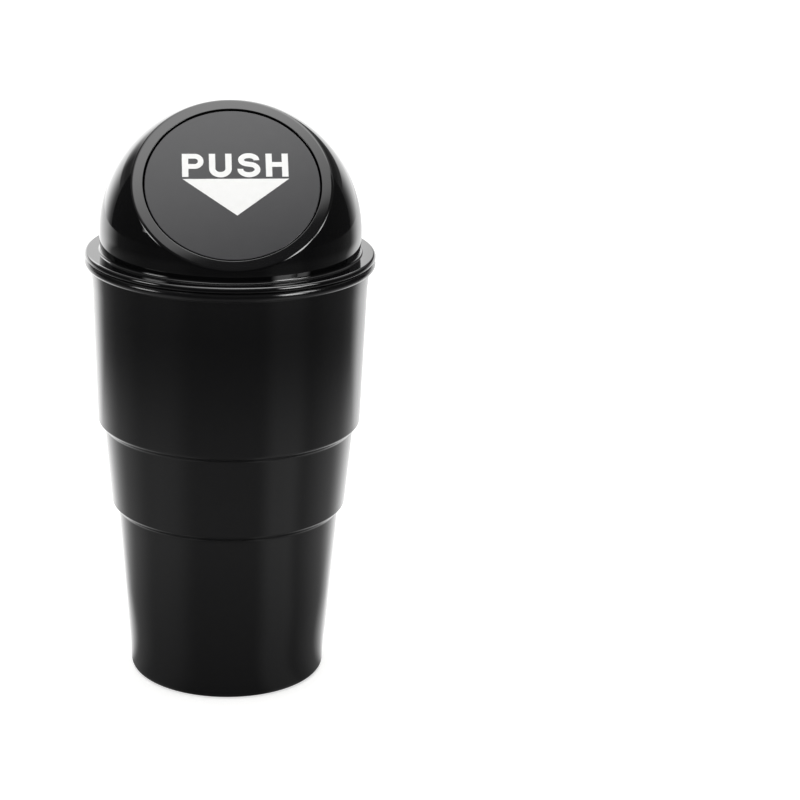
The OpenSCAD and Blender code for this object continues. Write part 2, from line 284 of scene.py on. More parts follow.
def mat_emission(tree):
    """The front's grey and what the fades and patches add to it by bearing, drawn together
    towards the front close to the foot. Except at the back, the sum falls off close to the
    foot and far away. Just behind the foot it rises: a painted glint on the cup's foot."""
    x, y, z = place_of(tree)
    flat = add(tree, "CombineXYZ", {"X": x, "Y": y})
    reach = add(tree, "VectorMath", {0: flat.outputs[0]}, operation="LENGTH").outputs["Value"]
    drawn_in = between(tree, reach, *mat_drawn_in)
    bearing = combine(tree, "MULTIPLY", bearing_of(tree, x, y), drawn_in)
    level = mat_front
    for fade in mat_sides + mat_back + mat_middle_of_back:
        level = combine(tree, "ADD", between(tree, bearing, *fade), level)
    for middle, *fade in mat_patches:
        off_middle = combine(tree, "ABSOLUTE", combine(tree, "SUBTRACT", bearing, middle))
        level = combine(tree, "ADD", between(tree, off_middle, *fade), level)
    near = between(tree, reach, *mat_near_foot, "LINEAR")
    far = combine(tree, "MULTIPLY", between(tree, reach, *mat_far), between(tree, reach, *mat_farthest))
    shifted = combine(tree, "ADD", bearing, between(tree, reach, *back_shifted))
    off = combine(tree, "ABSOLUTE", shifted)
    widened = combine(tree, "ADD", off, between(tree, reach, *back_widened))
    at_back = between(tree, widened, *back_begins)
    kept = combine(tree, "MAXIMUM", combine(tree, "MULTIPLY", near, far), at_back)
    # Painted glint: the mat is brighter just behind the foot, so that the foot's silhouettes shine.
    sides = between(tree, off, *painted_foot_glint_sides)
    glint = combine(tree, "MULTIPLY", between(tree, reach, *painted_foot_glint), sides)
    kept = combine(tree, "MULTIPLY", kept, combine(tree, "ADD", glint, 1.0))
    return combine(tree, "MULTIPLY", level, kept)


# The wall's fades, by metres across, metres of height, and degrees.
wall_across = (-0.4, 0.4, 2.5, 1.7)
wall_edge = (0, 24, 0.08, 1.0)
slant_up = (0.285, 0.34, 0, 1)
slant_across = (-0.2, 0.2, 12, 36)
band_z = 0.43
band_half, band_end = 0.03, 0.08
band_begins, band_full = 148, 162
band_aside = 0.62
band_across = (-0.10, 0.13, 0.8, 1.35)
wall_up = (0.45, 0.62, 1.0, 1.8)


def wall_emission(tree):
    """Brighter on the left. Its edge towards the cloth slants inwards above the bin's height,
    more so on the right. The band that the lid's flange mirrors has levels of its own, a
    painted reflection on the flange."""
    x, y, z = place_of(tree)
    off = combine(tree, "ABSOLUTE", bearing_of(tree, x, y))
    slant = combine(tree, "MULTIPLY", between(tree, z, *slant_up), between(tree, x, *slant_across))
    past_edge = combine(tree, "SUBTRACT", combine(tree, "SUBTRACT", off, cloth_reach), slant)
    lit = between(tree, past_edge, *wall_edge)
    level = combine(tree, "MULTIPLY", between(tree, x, *wall_across), lit)
    # Painted reflection for the flange's top: the band's own levels.
    behind = between(tree, x, *band_across)
    band_level = between(tree, off, band_begins, band_full, band_aside, behind)
    from_band = combine(tree, "ABSOLUTE", combine(tree, "SUBTRACT", z, band_z))
    band = between(tree, from_band, band_half, band_end, band_level, 1.0)
    return combine(tree, "MULTIPLY", level, combine(tree, "MULTIPLY", band, between(tree, z, *wall_up)))


# The ceiling's fades, by metres back from the softbox's front edge, and by metres across.
ceiling_inner = 0.001
ceiling_radiance = 0.12
softbox_slant = 0.38
softbox_begins = (-0.01, 0.005, 0.0, 1.0)
softbox_back = (0, 0.07, 2.2, 5.3)
softbox_left = (-0.42, 0.06, 0.03, 1.0)
softbox_right = (0.15, 0.50, 1.0, 0.06)


def ceiling_emission(tree):
    """The softbox in a dark ceiling. Its front edge is slanted and dimmer than its middle, and
    it fades out to both sides."""
    x, y, z = place_of(tree)
    edge = combine(tree, "ADD", combine(tree, "MULTIPLY", x, softbox_slant), softbox_front)
    back = combine(tree, "SUBTRACT", y, edge)
    inside = between(tree, back, *softbox_begins)
    level = combine(tree, "MULTIPLY", inside, between(tree, back, *softbox_back))
    left = between(tree, x, *softbox_left, "LINEAR")
    right = between(tree, x, *softbox_right)
    lit = combine(tree, "MULTIPLY", level, combine(tree, "MULTIPLY", left, right))
    return combine(tree, "ADD", lit, ceiling_radiance)


def strip_emission(tree, start, end, radiance):
    """Full in the middle third of the strip's width, and fading out to both of its ends."""
    x, y, z = place_of(tree)
    from_middle = combine(tree, "SUBTRACT", bearing_of(tree, x, y), (start + end) / 2)
    half = (end - start) / 2
    return between(tree, combine(tree, "ABSOLUTE", from_middle), half / 3, half, radiance, 0.0)


mat_lift = 0.0004
foot_of_wall, top_of_wall = (room_radius, 0), (room_radius, room_top)
round_card("grey_mat", -180, 180, (mat_inner, mat_lift), (room_radius, mat_lift), mat_emission)
round_card("black_cloth", -cloth_reach, cloth_reach, foot_of_wall, top_of_wall,
           lambda tree: cloth_radiance)
round_card("white_wall", cloth_reach, 360 - cloth_reach, foot_of_wall, top_of_wall, wall_emission)
round_card("softbox_face", -180, 180, (ceiling_inner, room_top), top_of_wall, ceiling_emission)
for name, (start, end), (low, high), radiance in strips:
    round_card(name, start, end, (strip_distance, low), (strip_distance, high),
               lambda tree: strip_emission(tree, start, end, radiance))


# Cup. One injection-moulded shell of black polypropylene: a hollow foot, three tapered tiers
# that step out at two S-shaped shoulders, and a rolled rim. Sizes are in millimetres.
foot_r, foot_round = 30.25, 2.2
foot_hollow, foot_ring_w = 1.0, 3.4
lower_top_r, lower_top_z = 34.15, 53.1
middle_top_r, middle_top_z = 38.3, 79.7
mouth_r, cup_h = 42.2, 133.7
shoulder_out, shoulder_h = 2.05, 2.9
cup_wall, floor_t = 1.4, 1.8
rim_out, rim_h, rim_root, mouth_round = 1.8, 3.0, 0.3, 0.6
corner = 0.25
cup_columns = 256

upper_bottom_z = middle_top_z + shoulder_h
upper_bottom_r = middle_top_r + shoulder_out
rim_under_z = cup_h - rim_h
rim_r = mouth_r + rim_out
upper_taper = (mouth_r - upper_bottom_r) / (rim_under_z - upper_bottom_z)


def mouth_in(z):
    """Inner radius of the cup's upper tier at height z."""
    return mouth_r - cup_wall + upper_taper * (z - rim_under_z)


def arc(x, y, r, start, end, steps):
    """Points on a circle round (x, y): r times cosine and sine of evenly spaced degrees."""
    a = np.radians(np.linspace(start, end, steps + 1))
    return np.stack([x + r * np.cos(a), y + r * np.sin(a)], 1)


def shoulder(r, z, steps=24):
    """A half wave of cosine that leads from one tier to the next, out as it goes up."""
    t = np.linspace(0, 1, steps + 1)
    return np.stack([r + shoulder_out * (1 - np.cos(math.pi * t)) / 2, z + shoulder_h * t], 1)


def split(start, end, parts):
    """Points that divide a straight stretch, without its ends."""
    t = np.linspace(0, 1, parts + 1)[1:-1, None]
    return np.array(start) * (1 - t) + np.array(end) * t


def turned(profile, columns):
    """Turns a profile of radius and height round Z: x is r sin a and y is -r cos a."""
    a = np.linspace(0, 2 * math.pi, columns, endpoint=False)
    r, z = np.array(profile).T
    return np.stack([np.outer(r, np.sin(a)), -np.outer(r, np.cos(a)), np.outer(z, 0 * a + 1)], -1)


def grid_normals(p, ring):
    """Normals of a grid: cross product of the steps across and along, each between neighbours."""
    across = np.roll(p, -1, 1) - np.roll(p, 1, 1)
    along = np.roll(p, -1, 0) - np.roll(p, 1, 0)
    if not ring:
        along[0] = p[1] - p[0]
        along[-1] = p[-1] - p[-2]
    n = np.cross(across, along)
    n[0] = n[1].mean(0) if np.ptp(p[0], axis=0).max() < 1e-9 else n[0]
    n[-1] = n[-2].mean(0) if np.ptp(p[-1], axis=0).max() < 1e-9 else n[-1]
    return n / np.linalg.norm(n, axis=-1, keepdims=True)


def skin(name, grids):
    """One closed mesh from grids of points in millimetres. Columns close round; rows close too
    where ring is true, and otherwise end in a pole. Each pole is one point with a fan round it."""
    points, normals, faces, count = [], [], [], 0
    for p, ring in grids:
        at = np.arange(p.shape[0] * p.shape[1]).reshape(p.shape[:2])
        if not ring:
            at[0] = at[0, 0]
            at[-1] = at[-1, 0]
        used, at = np.unique(at, return_inverse=True)
        at = at.reshape(p.shape[:2])
        points.append(p.reshape(-1, 3)[used])
        normals.append(grid_normals(p, ring).reshape(-1, 3)[used])
        low = at if ring else at[:-1]
        high = np.roll(at, -1, 0) if ring else at[1:]
        quads = np.stack([low, np.roll(low, -1, 1), np.roll(high, -1, 1), high], -1) + count
        if not ring:
            faces += quads[0][:, [0, 2, 3]].tolist() + quads[-1][:, [0, 1, 2]].tolist()
            quads = quads[1:-1]
        faces += quads.reshape(-1, 4).tolist()
        count += len(used)
    mesh = bpy.data.meshes.new(name)
    mesh.from_pydata((np.concatenate(points) / 1000).tolist(), [], faces)
    mesh.shade_smooth()
    mesh.normals_split_custom_set_from_vertices(np.concatenate(normals).tolist())
    made = bpy.data.objects.new(name, mesh)
    bpy.context.collection.objects.link(made)
    return made


tiers = np.concatenate([
    shoulder(lower_top_r, lower_top_z),
    shoulder(middle_top_r, middle_top_z)])
inner_floor = foot_hollow + floor_t
# Radii of the rings of points on the hollow under the foot and on the floor inside.
hollow_rings, floor_rings = (0, 8, 16), (18, 9, 0)
inner_foot_r = foot_r - cup_wall
inner_round = foot_round - cup_wall / 2
ring_in = foot_r - foot_round - foot_ring_w
roll_r = rim_h / 2
cup_profile = np.concatenate([
    [(r, foot_hollow) for r in hollow_rings],
    arc(ring_in - corner, foot_hollow - corner, corner, 90, 0, 4),
    arc(ring_in + corner, corner, corner, 180, 270, 4),
    arc(foot_r - foot_round, foot_round, foot_round, -90, 0, 14),
    split((foot_r, foot_round), (lower_top_r, lower_top_z), 8),
    shoulder(lower_top_r, lower_top_z),
    split((lower_top_r + shoulder_out, lower_top_z + shoulder_h), (middle_top_r, middle_top_z), 5),
    shoulder(middle_top_r, middle_top_z),
    split((upper_bottom_r, upper_bottom_z), (mouth_r - rim_root, rim_under_z - rim_root), 8),
    arc(mouth_r + rim_root, rim_under_z - rim_root, rim_root, 180, 90, 3),
    arc(rim_r - roll_r, cup_h - roll_r, roll_r, -90, 90, 22),
    arc(mouth_in(cup_h) + mouth_round, cup_h - mouth_round, mouth_round, 90, 180, 8),
    tiers[::-1] - (cup_wall, 0),
    arc(inner_foot_r - inner_round, inner_floor + inner_round, inner_round, 0, -90, 8),
    [(r, inner_floor) for r in floor_rings]])
cup = skin("cup_shell", [(turned(cup_profile, cup_columns), False)])
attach(cup, "cup")
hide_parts("cup")

# Black polypropylene, straight from a polished mould: near-black body, gloss just short of a
# mirror, and a faint broad waviness of the wall where the resin has shrunk.
cup_black = "#101011"
cup_black_pale = "#141415"
cup_cloud_mm = 30
cup_roughness, cup_spread, cup_polish_mm = 0.12, 0.03, 8
shrink_wave_mm = 17
shrink_depth_mm = 0.010


def uneven(tree, wave_mm, detail=2.0, stretch=(1, 1, 1)):
    """Soft noise from 0 to 1 with waves of about wave_mm, in the object's own coordinates."""
    place = add(tree, "Mapping", {"Vector": add(tree, "TexCoord").outputs["Object"], "Scale": stretch})
    return add(tree, "TexNoise", {"Vector": place.outputs[0], "Scale": 1000 / wave_mm, "Detail": detail,
                                  "Roughness": 0.5}).outputs["Fac"]


polypropylene = bpy.data.materials.new("polished_moulded_polypropylene")
tree = empty_tree(polypropylene)
clouds = uneven(tree, cup_cloud_mm)
body = add(tree, "MixRGB", {0: clouds, 1: colour(cup_black), 2: colour(cup_black_pale)})
polish = add(tree, "MapRange", {
    "Value": uneven(tree, cup_polish_mm), "To Min": cup_roughness - cup_spread,
    "To Max": cup_roughness + cup_spread})
wave = add(tree, "Bump", {"Height": uneven(tree, shrink_wave_mm, 1.0), "Strength": 1.0,
                          "Distance": shrink_depth_mm / 1000})
gloss = add(tree, "BsdfPrincipled", {"Base Color": body.outputs[0], "Roughness": polish.outputs[0],
                                     "IOR": 1.49, "Normal": wave.outputs[0]})
add(tree, "OutputMaterial", {"Surface": gloss.outputs[0]})
cup.data.materials.append(polypropylene)


# Lid. One moulding of black ABS: a dome cut by a slanted face with a rounded edge, a round
# opening in the face, a flange that rests on the rim, and a skirt that plugs into the cup.
dome_r, dome_rise, lid_wall = 39.6, 7.5, 1.6
flange_t, dome_foot_round = 1.6, 0.8
skirt_h, skirt_t, skirt_gap, lead_in, lead_in_round = 6.2, 1.3, 0.35, 0.5, 0.05
face_tilt = math.radians(44.5)
face_out, face_round = 26.4, 1.3
opening_r, lip_round = 26.216, 0.2
lid_columns = 288
dome_rows, hollow_rows = 76, 40

dome_z = cup_h + dome_rise
dome_in_r = dome_r - lid_wall
face_under = face_out - lid_wall
flange_top = cup_h + flange_t


def in_face(p):
    """Carries points from the face's own frame, Z square out of the face and Y up along it,
    into the bin's: a turn by the face's tilt about X, then a lift to the dome's centre."""
    x, y, z = np.moveaxis(np.array(p, float), -1, 0)
    c, s = math.cos(face_tilt), math.sin(face_tilt)
    return np.stack([x, y * c - z * s, y * s + z * c + dome_z], -1)


def over_sphere(start, end, rows):
    """Rows along great circles from each start point to its end point, both on one sphere
    about the dome's centre, closest together near the two ends."""
    centre = np.array([0, 0, dome_z])
    radius = np.linalg.norm(start[0] - centre)
    a = (start - centre) / radius
    b = (end - centre) / radius
    turn = np.arccos((a * b).sum(-1))[:, None]
    t = (1 - np.cos(np.linspace(0, math.pi, rows)))[:, None, None] / 2
    return centre + radius * (np.sin((1 - t) * turn) * a + np.sin(t * turn) * b) / np.sin(turn)


fillet_r = math.sqrt((dome_r + dome_foot_round) ** 2 - (dome_z - flange_top - dome_foot_round) ** 2)
fillet_z = flange_top + dome_foot_round
fillet_turn = 180 - math.degrees(math.asin((dome_z - fillet_z) / (dome_r + dome_foot_round)))
edge_top, edge_under = flange_t * 0.55, flange_t * 0.3
skirt_under = cup_h - skirt_h
skirt_in = mouth_in(skirt_under) - skirt_gap - skirt_t
skirt_out = mouth_in(skirt_under) - skirt_gap
skirt_root = mouth_in(cup_h) - skirt_gap
foot_profile = np.concatenate([
    [(dome_in_r, cup_h + corner)],
    arc(dome_in_r + corner, cup_h + corner, corner, 180, 270, 3),
    arc(skirt_in - corner, cup_h - corner, corner, 90, 0, 3),
    arc(skirt_in + corner, skirt_under + corner, corner, 180, 270, 3),
    arc(skirt_out - lead_in - corner / 2, skirt_under + corner / 2, corner / 2, 270, 315, 2),
    [(skirt_out - lead_in_round, skirt_under + lead_in - lead_in_round)],
    [(skirt_out, skirt_under + lead_in + lead_in_round)],
    arc(skirt_root + corner, cup_h - corner, corner, 180, 90, 3),
    arc(rim_r - edge_under, cup_h + edge_under, edge_under, -90, 0, 8),
    arc(rim_r - edge_top, flange_top - edge_top, edge_top, 0, 90, 14),
    arc(fillet_r, fillet_z, dome_foot_round, 270, fillet_turn, 12)])
round_out = face_out - face_round
round_r = math.sqrt((dome_r - face_round) ** 2 - round_out ** 2)
round_turn = math.degrees(math.atan2(round_out, round_r))
under_r = math.sqrt(dome_in_r ** 2 - face_under ** 2)
face_profile = np.concatenate([
    arc(round_r, round_out, face_round, round_turn, 90, 14),
    arc(opening_r + lip_round, face_out - lip_round, lip_round, 90, 180, 8),
    arc(opening_r + corner, face_under + corner, corner, 180, 270, 3),
    [(under_r, face_under)]])
foot_grid = turned(foot_profile, lid_columns)
face_grid = in_face(turned(face_profile, lid_columns))
dome_grid = over_sphere(foot_grid[-1], face_grid[0], dome_rows)

# The hollow follows a smaller sphere from the back of the face down, and below the sphere's
# widest circle it keeps that circle's width, as an upright wall.
hollow_lift = 2.8
hollow_end_z = cup_h + hollow_lift
hollow_end_r = math.sqrt(dome_in_r ** 2 - (dome_z - hollow_end_z) ** 2)
hollow_end = turned([(hollow_end_r, hollow_end_z)], lid_columns)[0]
hollow_grid = over_sphere(face_grid[-1], hollow_end, hollow_rows)
low = hollow_grid[..., 2] < dome_z
spread = np.where(low, dome_in_r / np.hypot(hollow_grid[..., 0], hollow_grid[..., 1]), 1)
hollow_grid[..., :2] *= spread[..., None]
lid = skin("lid_shell", [
    (np.concatenate([foot_grid, dome_grid[1:-1], face_grid, hollow_grid[1:]]), True)])
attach(lid, "lid")
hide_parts("lid_dome")

# High-gloss ABS: deeper black than the cup and mirror-like, with a barely visible ripple.
lid_black = "#0a0a0b"
lid_black_pale = "#0d0d0e"
lid_cloud_mm = 25
lid_roughness, lid_spread, lid_polish_mm = 0.045, 0.015, 6
lid_ripple_mm = 14
lid_ripple_depth_mm = 0.002
abs_gloss = bpy.data.materials.new("high_gloss_moulded_abs")
tree = empty_tree(abs_gloss)
clouds = uneven(tree, lid_cloud_mm)
body = add(tree, "MixRGB", {0: clouds, 1: colour(lid_black), 2: colour(lid_black_pale)})
polish = add(tree, "MapRange", {
    "Value": uneven(tree, lid_polish_mm), "To Min": lid_roughness - lid_spread,
    "To Max": lid_roughness + lid_spread})
ripple = add(tree, "Bump", {"Height": uneven(tree, lid_ripple_mm, 1.0), "Strength": 1.0,
                            "Distance": lid_ripple_depth_mm / 1000})
gloss = add(tree, "BsdfPrincipled", {"Base Color": body.outputs[0], "Roughness": polish.outputs[0],
                                     "IOR": 1.53, "Normal": ripple.outputs[0]})
add(tree, "OutputMaterial", {"Surface": gloss.outputs[0]})
lid.data.materials.append(abs_gloss)


# Fittings inside the lid, moulded in one with it: two slotted bosses that the hinge pin snaps
# into, and a ledge under the opening's upper edge that the flap closes on. All three run on
# into the lid's wall: up to embed_out behind the face, and to wall_middle_r at the sides.
pin_in = 8.2
pin_up, pin_deep = opening_r - pin_in, 22.2
boss_r, boss_bore, snap_w = 3.0, 1.03, 1.7
boss_in = math.sqrt(opening_r ** 2 - (pin_up - boss_r) ** 2)
embed_out = 25.2
boss_least, fitting_edge = 0.1, 0.12
wall_middle_r = dome_r - lid_wall / 2
ledge_under, ledge_top, ledge_reach, ledge_half_w = 22.5, 23.8, 3.0, 6.0


def prism(outline, start, end):
    """A closed outline in Y and Z, anticlockwise seen from +X, carried from X start to X end."""
    y, z = np.array(outline).T
    ends = [np.stack([0 * y + start, y, z], -1), np.stack([0 * y + end, y, z], -1)]
    return np.stack(ends)


def blocks(name, prisms, bevel_mm):
    """One mesh of separate closed prisms, each with two flat ends, with all edges bevelled."""
    points, faces, count = [], [], 0
    for p in prisms:
        n = p.shape[1]
        low = np.arange(n) + count
        high = low + n
        sides = np.stack([low, np.roll(low, -1), np.roll(high, -1), high], -1)
        faces += sides.tolist() + [low[::-1].tolist(), high.tolist()]
        points.append(in_face(p).reshape(-1, 3))
        count += 2 * n
    mesh = bpy.data.meshes.new(name)
    mesh.from_pydata((np.concatenate(points) / 1000).tolist(), [], faces)
    mesh.shade_smooth()
    made = bpy.data.objects.new(name, mesh)
    bpy.context.collection.objects.link(made)
    bevel = made.modifiers.new("moulded_edges", "BEVEL")
    bevel.width = bevel_mm / 1000
    bevel.segments = 2
    bevel.limit_method = "ANGLE"
    bevel.harden_normals = True
    return made


slot_out = math.degrees(math.asin(snap_w / 2 / boss_r))
slot_in = math.degrees(math.asin(snap_w / 2 / boss_bore))
boss_outline = np.concatenate([
    arc(pin_up, pin_deep, boss_r, slot_out - 90, 0, 8),
    [(pin_up + boss_r, embed_out), (pin_up - boss_r, embed_out)],
    arc(pin_up, pin_deep, boss_r, 180, 270 - slot_out, 8),
    arc(pin_up, pin_deep, boss_bore, 270 - slot_in, slot_in - 90, 16)])
boss_end = np.sqrt(wall_middle_r ** 2 - (boss_outline ** 2).sum(1)).clip(boss_in + boss_least)
ledge_end = math.sqrt(wall_middle_r ** 2 - ledge_under ** 2 - ledge_half_w ** 2)
ledge_end_top = math.sqrt(wall_middle_r ** 2 - embed_out ** 2 - ledge_half_w ** 2)
ledge_outline = [
    (opening_r - ledge_reach, ledge_under),
    (ledge_end, ledge_under),
    (ledge_end_top, embed_out),
    (opening_r, embed_out),
    (opening_r, ledge_top),
    (opening_r - ledge_reach, ledge_top)]
fittings = blocks("lid_bosses_and_ledge", [
    prism(boss_outline, boss_in, boss_end),
    prism(boss_outline, -boss_end, -boss_in),
    prism(ledge_outline, -ledge_half_w, ledge_half_w)], fitting_edge)

# The lid's skirt also carries twelve short upright ribs, half sunk in it, which grip the cup.
rib_count, rib_columns = 12, 20
rib_r, rib_low, rib_high, rib_stand, rib_round = 0.8, 128.5, 132.6, 0.2, 0.3
rib_middle_r = mouth_in(skirt_under) - skirt_gap + rib_stand - rib_r


def rib(turn):
    """A round bar with rounded ends: a profile turned round Z and set on the skirt."""
    e = rib_round
    profile = np.concatenate([
        [(0, rib_low)], arc(rib_r - e, rib_low + e, e, -90, 0, 3),
        arc(rib_r - e, rib_high - e, e, 0, 90, 3), [(0, rib_high)]])
    place = (rib_middle_r * math.sin(turn), -rib_middle_r * math.cos(turn), 0)
    return turned(profile, rib_columns) + place


rib_turns = (np.arange(rib_count) + 0.5) * 2 * math.pi / rib_count
ribs = skin("lid_grip_ribs", [(rib(turn), False) for turn in rib_turns])
for part in (fittings, ribs):
    part.data.materials.append(abs_gloss)
    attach(part, "lid")
    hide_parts("lid_dome")


# Flap. A moulded disc of black ABS with a turned-back edge. Its face comes from a mould that
# was spark-eroded to a fine satin, so it shows the softbox as a broad, soft grey sheen.
flap_gap, flap_sink = 0.4, 0.3
flap_t, flap_edge_h, flap_edge_t, flap_round, edge_round = 1.5, 2.2, 1.2, 0.25, 0.15
flap_rings, flap_columns = (0, 9, 18), 224
flap_r = opening_r - flap_gap
flap_face = face_out - flap_sink
flap_back = flap_face - flap_t
edge_in_r = flap_r - flap_edge_t
edge_under_out = flap_face - flap_edge_h
flap_profile = np.concatenate([
    [(r, flap_back) for r in flap_rings],
    arc(edge_in_r - corner, flap_back - corner, corner, 90, 0, 3),
    arc(edge_in_r + edge_round, edge_under_out + edge_round, edge_round, 180, 270, 3),
    arc(flap_r - edge_round, edge_under_out + edge_round, edge_round, 270, 360, 3),
    arc(flap_r - flap_round, flap_face - flap_round, flap_round, 0, 90, 14),
    [(r, flap_face) for r in flap_rings[::-1]]])
flap = skin("flap_disc", [(in_face(turned(flap_profile, flap_columns)), False)])
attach(flap, "flap")
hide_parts("push_flap")

satin_black = "#262628"
satin_black_pale = "#2a2a2c"
satin_cloud_mm = 5
satin_roughness, satin_spread, satin_polish_mm = 0.22, 0.03, 3
# The pits shade one another, so the sheen is weaker than on a smooth face of the same plastic.
satin_sheen = 0.36
# The real spark pits are 0.1 mm apart, too fine for the picture, so they are drawn 0.35 mm apart.
pit_mm = 0.35
pit_depth_mm = 0.004
satin_abs = bpy.data.materials.new("spark_eroded_satin_abs")
tree = empty_tree(satin_abs)
clouds = uneven(tree, satin_cloud_mm, 4.0)
body = add(tree, "MixRGB", {0: clouds, 1: colour(satin_black), 2: colour(satin_black_pale)})
polish = add(tree, "MapRange", {
    "Value": uneven(tree, satin_polish_mm, 3.0), "To Min": satin_roughness - satin_spread,
    "To Max": satin_roughness + satin_spread})
pits = add(tree, "Bump", {"Height": uneven(tree, pit_mm, 3.0), "Strength": 1.0,
                          "Distance": pit_depth_mm / 1000})
sheen = add(tree, "BsdfPrincipled", {"Base Color": body.outputs[0], "Roughness": polish.outputs[0],
                                     "IOR": 1.53, "Specular IOR Level": satin_sheen,
                                     "Normal": pits.outputs[0]})
add(tree, "OutputMaterial", {"Surface": sheen.outputs[0]})
flap.data.materials.append(satin_abs)


# Hinge of the flap, moulded in one with it: two bored barrels that turn on the pin, each
# carried by a web from the flap's back.
barrel_r, barrel_bore, barrel_start, end_play = 2.2, 1.05, 12.5, 0.4
barrel_end = boss_in - end_play
barrel_columns = 48
web_t, web_down, web_up, web_sunk, web_edge = 2.5, 6.0, 1.2, 0.5, 0.15
web_start, web_end = 200, 45
web_lip = arc(0, 0, barrel_r, web_start, web_end, 12)[:1]
web_foot = flap_back + web_sunk - pin_deep


def on_pin(p):
    """Carries points from the pin's frame, X along the pin, into the bin's."""
    return in_face(np.array(p, float) + (0, pin_up, pin_deep))


def barrel(start, end):
    """A tube along X with rounded ends: a ring-shaped profile turned round the pin."""
    e = edge_round
    profile = np.concatenate([
        arc(barrel_r - e, start + e, e, 270, 360, 3),
        arc(barrel_r - e, end - e, e, 0, 90, 3),
        arc(barrel_bore + e, end - e, e, 90, 180, 3),
        arc(barrel_bore + e, start + e, e, 180, 270, 3)])
    x, y, z = np.moveaxis(turned(profile, barrel_columns), -1, 0)
    return on_pin(np.stack([z, x, y], -1))


barrels = skin("flap_barrels", [
    (barrel(barrel_start, barrel_end), True),
    (barrel(-barrel_end, -barrel_start), True)])
web_outline = np.concatenate([
    [(-web_down, web_foot)],
    web_lip,
    arc(0, 0, (barrel_r + barrel_bore) / 2, web_start, web_end, 12),
    [(web_up, web_foot)]]) + (pin_up, pin_deep)
webs = blocks("flap_webs", [
    prism(web_outline, barrel_start, barrel_start + web_t),
    prism(web_outline, -barrel_start - web_t, -barrel_start)], web_edge)
for part in (barrels, webs):
    part.data.materials.append(satin_abs)
    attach(part, "flap")
    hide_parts("push_flap")


# Printed mark. White pad-printing ink, 0.03 mm thick, on the flap: the word PUSH over a
# triangle that points down. The letters are plain strokes, with uprights a little wider than
# the bars.
letter_h, stroke, bar = 8.0, 1.85, 1.65
ink_t, ink_sunk = 0.03, 0.01
mark_middle, mark_base, mark_turn = 1.0, 2.65, math.radians(0.9)
triangle_half_w, triangle_h, triangle_gap, tip_aside = 15.65, 12.6, 0.72, 0.1


def ribbon(path, width):
    """The two edges of a strip of ink: the path's points moved half the width to either side."""
    p = np.array(path, float)
    along = np.gradient(p, axis=0)
    along /= np.linalg.norm(along, axis=1, keepdims=True)
    aside = np.stack([along[:, 1], -along[:, 0]], 1) * width / 2
    return p - aside, p + aside


def half_ring(x, y, rx, ry, start, end, steps=20):
    """Points on an ellipse round (x, y), between two angles in degrees."""
    a = np.radians(np.linspace(start, end, steps + 1))
    return np.stack([x + rx * np.cos(a), y + ry * np.sin(a)], 1)


def straight(start, end, steps=2):
    """Evenly spaced points from start to end."""
    t = np.linspace(0, 1, steps)[:, None]
    return np.array(start) * (1 - t) + np.array(end) * t


# Straight strokes end one join short of the curve that they run into, and the curves of U and S
# go a little past the letters' height, as they do in most plain lettering.
p_w, u_w, s_w, h_w = 6.35, 6.65, 6.7, 6.6
join = 0.3
bowl_r = 1.77
bowl_x, bowl_y = p_w - bar / 2 - bowl_r, letter_h - bar / 2 - bowl_r
letter_p = [
    ribbon(straight((stroke / 2, letter_h), (stroke / 2, 0)), stroke),
    ribbon(np.concatenate([
        straight((stroke, bowl_y + bowl_r), (bowl_x - join, bowl_y + bowl_r)),
        half_ring(bowl_x, bowl_y, bowl_r, bowl_r, 90, -90),
        straight((bowl_x - join, bowl_y - bowl_r), (stroke, bowl_y - bowl_r))]), bar)]
u_past, s_past = 0.1, 0.15
u_rx, u_ry = (u_w - stroke) / 2, 2.1
u_y = u_ry + bar / 2 - u_past
letter_u = [ribbon(np.concatenate([
    straight((stroke / 2, letter_h), (stroke / 2, u_y + join)),
    half_ring(u_w / 2, u_y, u_rx, u_ry, 180, 360),
    straight((u_w - stroke / 2, u_y + join), (u_w - stroke / 2, letter_h))]), stroke)]
s_top, s_bottom, s_middle = letter_h - bar / 2 + s_past, bar / 2 - s_past, 4.35
s_rx, s_top_in, s_bar = (s_w - bar) / 2, 0.25, bar + 0.05
letter_s = [ribbon(np.concatenate([
    half_ring(s_w / 2, (s_top + s_middle) / 2, s_rx - s_top_in, (s_top - s_middle) / 2, -4, 240),
    half_ring(s_w / 2, (s_bottom + s_middle) / 2, s_rx, (s_middle - s_bottom) / 2, 62, -187)]), s_bar)]
h_bar_y = letter_h * 0.53
letter_h_shape = [
    ribbon(straight((stroke / 2, letter_h), (stroke / 2, 0)), stroke),
    ribbon(straight((h_w - stroke / 2, 0), (h_w - stroke / 2, letter_h)), stroke),
    ribbon(straight((stroke, h_bar_y), (h_w - stroke, h_bar_y)), bar)]
starts = [-15.75, -7.8, 0.55, 8.88]
ribbons = [
    (left + (start, 0), right + (start, 0))
    for start, letter in zip(starts, (letter_p, letter_u, letter_s, letter_h_shape))
    for left, right in letter]
triangle = np.array([
    (tip_aside, -triangle_gap - triangle_h),
    (triangle_half_w, -triangle_gap),
    (-triangle_half_w, -triangle_gap)])


